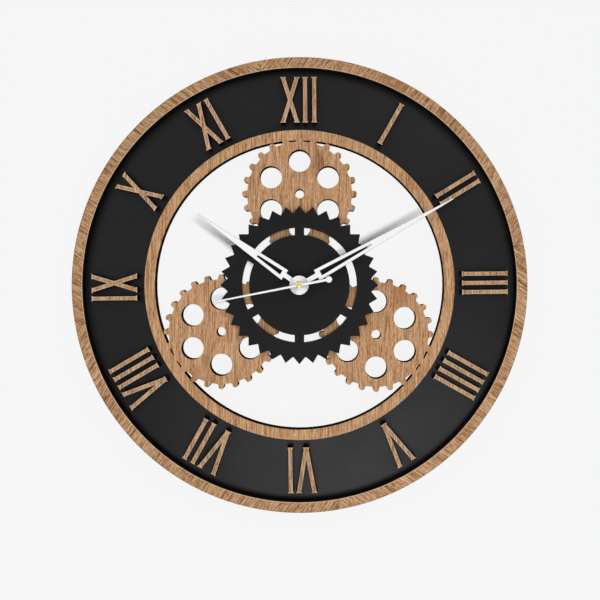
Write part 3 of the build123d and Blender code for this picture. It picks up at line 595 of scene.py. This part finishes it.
# the brass eyelet that holds the second hand: a short tube under a domed head with a small dimple
eyelet = {
    "tube": 0.0013, "head": 0.00235, "headHeight": 0.0009, "edge": 0.00012, "sides": 48,
    "domeSteps": 6, "shortOfTop": 0.6,      # the dome stops this share of a step before its top
    "dimple": 0.0004, "dimpleDepth": 0.00012, "smoothAngle": radians(35),
}
low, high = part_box("second_hand_eyelet")
tubeLength = high.y - low.y - eyelet["headHeight"]
edgeRise = tubeLength + eyelet["edge"]
domeRise = eyelet["headHeight"] - eyelet["edge"]
rings = [
    (0.0, eyelet["tube"]), (tubeLength, eyelet["tube"]),
    (tubeLength, eyelet["head"] - eyelet["edge"]), (edgeRise, eyelet["head"])]
for step in range(1, eyelet["domeSteps"] + 1):
    turn = pi / 2 * step / (eyelet["domeSteps"] + eyelet["shortOfTop"])
    rings.append((edgeRise + domeRise * sin(turn), eyelet["head"] * cos(turn)))
rings.append((rings[-1][0] - eyelet["dimpleDepth"], eyelet["dimple"]))
dome = turnPiece("eyelet_dome", high.y, rings, eyelet["sides"], eyelet["smoothAngle"])
dome.data.materials.append(bpy.data.materials["polished_brass"])
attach(dome, "second_arbor")
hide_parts("second_hand_eyelet")
print("turned eyelet made:", len(rings), "rings")

# moulded marks on the back of the movement: arrows round the setting knob, plus and minus beside the battery
moulded = {
    "raise": 0.0002, "sink": 0.00005, "line": 0.0006, "draft": 0.8,
    "arcRadius": 0.0072, "arcs": ((25, 125), (205, 305)),      # in degrees round the knob
    "ringSides": 120, "head": 0.0013,
    "sign": 0.0030, "signInset": 0.0042, "signRise": 0.0034,
}
# the marks are a lighter grey than the cover: painted sheen on their polished tops
markPolishAndSheen = {
    "base": tone(52, 52, 53), "shade": tone(60, 60, 61), "roughness": 0.26,
    "grain": 0.0006, "bumpDepth": 0.000005,
}
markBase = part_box("rear_cover")[1].y - moulded["sink"]
lieBack = radians(-90)     # lays a flat shape on the back
markParts = []


# draws the mark out of the cover
def raiseMark():
    rise = moulded["raise"] + moulded["sink"]
    bpy.ops.mesh.select_all(action="SELECT")
    bpy.ops.mesh.extrude_region_move(TRANSFORM_OT_translate={"value": (0, rise, 0)})


def finishMark():
    bpy.ops.mesh.select_all(action="SELECT")
    bpy.ops.mesh.normals_make_consistent(inside=False)
    bpy.ops.object.mode_set(mode="OBJECT")
    bpy.ops.object.transform_apply(location=True, rotation=True, scale=True)
    markParts.append(bpy.context.object)


def markBar(x, z, length, width):
    place = (x, markBase, z)
    bpy.ops.object.select_all(action="DESELECT")
    bpy.ops.mesh.primitive_plane_add(size=1, location=place, rotation=(lieBack, 0, 0))
    bpy.ops.object.mode_set(mode="EDIT")
    bpy.ops.transform.resize(value=(length, 1, width), center_override=place)
    raiseMark()
    bpy.ops.transform.resize(value=(moulded["draft"], 1, moulded["draft"]), center_override=place)
    finishMark()


# an arrow head at the end of an arc
def markHead(x, z, turn):
    radius = moulded["arcRadius"]
    bpy.ops.object.select_all(action="DESELECT")
    bpy.ops.mesh.primitive_circle_add(
        vertices=3, radius=moulded["head"], fill_type="NGON",
        location=(x + radius * cos(turn), markBase, z + radius * sin(turn)),
        rotation=(lieBack, atan2(sin(turn), -cos(turn)), 0))
    bpy.ops.object.mode_set(mode="EDIT")
    raiseMark()
    finishMark()


# a flat ring, of which only the arcs are kept
def markArcs(x, z):
    place = (x, markBase, z)
    outer = moulded["arcRadius"] + moulded["line"] / 2
    inner = moulded["arcRadius"] - moulded["line"] / 2
    bpy.ops.object.select_all(action="DESELECT")
    bpy.ops.mesh.primitive_circle_add(
        vertices=moulded["ringSides"], radius=outer, fill_type="NOTHING",
        location=place, rotation=(lieBack, 0, 0))
    bpy.ops.object.mode_set(mode="EDIT")
    bpy.ops.mesh.select_all(action="SELECT")
    bpy.ops.mesh.extrude_region_move(TRANSFORM_OT_translate={"value": (0, 0, 0)})
    bpy.ops.transform.resize(value=(inner / outer, 1, inner / outer), center_override=place)
    bpy.ops.mesh.select_mode(type="FACE")
    bpy.ops.mesh.select_all(action="DESELECT")
    bpy.ops.object.mode_set(mode="OBJECT")
    ring = bpy.context.object
    for face in ring.data.polygons:
        where = ring.matrix_world @ face.center
        turn = degrees(atan2(where.z - z, where.x - x)) % 360
        face.select = not any(first < turn < last for first, last in moulded["arcs"])
    bpy.ops.object.mode_set(mode="EDIT")
    bpy.ops.mesh.delete(type="FACE")
    raiseMark()
    finishMark()


low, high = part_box("setting_knob")
knobX = (low.x + high.x) / 2
knobZ = (low.z + high.z) / 2
markArcs(knobX, knobZ)
for arc in moulded["arcs"]:
    markHead(knobX, knobZ, radians(arc[1]))
low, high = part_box("battery")
signZ = high.z + moulded["signRise"]
minusX = low.x + moulded["signInset"]
plusX = high.x - moulded["signInset"]
markBar(minusX, signZ, moulded["sign"], moulded["line"])
markBar(plusX, signZ, moulded["sign"], moulded["line"])
markBar(plusX, signZ, moulded["line"], moulded["sign"])
bpy.ops.object.select_all(action="DESELECT")
for part in markParts:
    part.select_set(True)
bpy.context.view_layer.objects.active = markParts[0]
bpy.ops.object.join()
coverMarks = bpy.context.object
coverMarks.name = "cover_marks"
coverMarks.data.materials.clear()
coverMarks.data.materials.append(mouldedPlastic("polished_mark", markPolishAndSheen))
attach(coverMarks, "clock_frame")
print("moulded marks made:", len(markParts))

stage = {
    "background": tone(246, 246, 246), "fill": 0.395,
    "floor": tone(236, 236, 236), "floorPale": tone(240, 240, 240), "floorCloud": 0.4,
    "floorRough": 0.9, "floorLift": 0.36, "floorHeight": -0.95, "floorHalf": 3.0,
    "wallHalf": 0.9, "wallGap": 0.0004, "wallWhite": 0.04,
}


def addPlane(name, size, location, rotation=(0, 0, 0)):
    bpy.ops.object.select_all(action="DESELECT")
    bpy.ops.mesh.primitive_plane_add(size=size, location=location, rotation=rotation)
    plane = bpy.context.object
    plane.name = name
    return plane


# one for rays that show the stage itself, to the eye or in gloss and glass
def seenRay(tree):
    rays = addNode(tree, "ShaderNodeLightPath")
    seen = mathNode(tree, "MAXIMUM", rays.outputs["Is Camera Ray"], rays.outputs["Is Glossy Ray"])
    return mathNode(tree, "MAXIMUM", seen, rays.outputs["Is Transmission Ray"])


floor = addPlane("floor", 2 * stage["floorHalf"], (0, 0, stage["floorHeight"]))
material, tree, shader = startMaterial("floor_paint")
cloud = evenNoise(tree, objectCoords(tree)[0], stage["floorCloud"], 2.0)
setShader(tree, shader, {
    "Base Color": mixColours(tree, cloud, stage["floor"], stage["floorPale"]),
    "Roughness": stage["floorRough"], "Emission Color": stage["floor"],
    "Emission Strength": mathNode(tree, "MULTIPLY", seenRay(tree), stage["floorLift"])})
floor.data.materials.append(material)

# the wall shows only from the front, and is so dark that only its own strong lamp tells on it
wallMiddle = (0, stage["wallGap"], stage["floorHeight"] + stage["wallHalf"])
wall = addPlane("wall", 2 * stage["wallHalf"], wallMiddle, (radians(90), 0, 0))
material, tree, shader = startMaterial("wall_paint")
tree.nodes.remove(shader)
matt = addNode(tree, "ShaderNodeBsdfDiffuse", {"Color": grey(stage["wallWhite"])})
clear = addNode(tree, "ShaderNodeBsdfTransparent")
behind = addNode(tree, "ShaderNodeNewGeometry").outputs["Backfacing"]
shown = addNode(tree, "ShaderNodeMixShader", {0: behind, 1: matt.outputs[0], 2: clear.outputs[0]})
tree.links.new(shown.outputs[0], tree.nodes["Material Output"].inputs["Surface"])
wall.data.materials.append(material)
for kind in ("diffuse", "glossy", "transmission", "shadow"):
    setattr(wall, f"visible_{kind}", False)

world = bpy.data.worlds.new("studio")
bpy.context.scene.world = world
world.use_nodes = True
tree = world.node_tree
tree.nodes.clear()
fill = addNode(tree, "ShaderNodeBackground", {"Color": grey(1.0), "Strength": stage["fill"]})
backdrop = addNode(tree, "ShaderNodeBackground", {"Color": stage["background"], "Strength": 1.0})
sky = addNode(tree, "ShaderNodeMixShader", {0: seenRay(tree), 1: fill.outputs[0], 2: backdrop.outputs[0]})
addNode(tree, "ShaderNodeOutputWorld", {"Surface": sky.outputs[0]})

# round lamps, in metres and watts; they look at the clock's middle unless they have a target
lamps = {
    "keyLamp": {"place": (0.75, -1.35, 1.05), "size": 0.9, "power": 7.0},
    "topLamp": {"place": (-0.4, -1.0, 1.3), "size": 0.9, "power": 2.4},
    "sideLamp": {"place": (-1.0, -0.9, 0.30), "size": 0.6, "power": 2.7, "colour": (0.84, 0.93, 1.0)},
    "lowLamp": {"place": (0.10, -0.95, -0.48), "target": (0.03, 0, -0.1), "size": 0.7, "power": 4.3},
    "backLamp": {"place": (-0.7, 1.3, 0.8), "size": 0.8, "power": 9.0},
}
wallSun = {"direction": (-0.33, 1.0, -0.02), "angle": radians(16.5), "strength": 73.0}


def addLamp(name, kind, direction):
    holder = bpy.data.objects.new(name, bpy.data.lights.new(name, kind))
    bpy.context.scene.collection.objects.link(holder)
    holder.rotation_mode = "QUATERNION"
    holder.rotation_quaternion = Vector(direction).to_track_quat("-Z", "Y")
    return holder


def lampGroup(name, members):
    group = bpy.data.collections.new(name)
    for member in members:
        group.objects.link(member)
    return group


holders = {}
for name, lamp in lamps.items():
    target = Vector(lamp.get("target", (0, 0, 0)))
    holder = addLamp(name, "AREA", target - Vector(lamp["place"]))
    holder.location = lamp["place"]
    holder.visible_camera = False
    holder.data.shape = "DISK"
    holder.data.size = lamp["size"]
    holder.data.energy = lamp["power"]
    holder.data.color = lamp.get("colour", (1, 1, 1))
    holders[name] = holder

# the low lamp hangs near the floor and is kept off it
floorGroup = lampGroup("notFloor", [floor])
floorGroup.collection_objects[0].light_linking.link_state = "EXCLUDE"
holders["lowLamp"].light_linking.receiver_collection = floorGroup

# a lamp for the wall alone: only the hands block it, so their soft shadows fall beside them
sun = addLamp("wallLamp", "SUN", wallSun["direction"])
sun.data.angle = wallSun["angle"]
sun.data.energy = wallSun["strength"]
handNames = ("hour_hand", "minute_hand", "second_hand")
sun.light_linking.receiver_collection = lampGroup("wallOnly", [wall])
sun.light_linking.blocker_collection = lampGroup("handShadows", [nodes[name] for name in handNames])

# the camera stands a little off the clock axis, at a distance from the front of the wood
view = {
    "right": 0.0175, "up": 0.0088, "distance": 0.52, "lens": 35.59, "shiftX": -0.0325, "shiftY": -0.0417,
}
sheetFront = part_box("gear_frame")[0].y
camera = bpy.data.cameras.new("camera")
camera.lens = view["lens"]
camera.shift_x = view["shiftX"]
camera.shift_y = view["shiftY"]
cameraHolder = bpy.data.objects.new("camera", camera)
bpy.context.scene.collection.objects.link(cameraHolder)
cameraHolder.location = (view["right"], sheetFront - view["distance"], view["up"])
cameraHolder.rotation_euler = (radians(90), 0, 0)
bpy.context.scene.camera = cameraHolder
bpy.context.scene.view_settings.view_transform = "Standard"
print("stage, lamps and camera set")
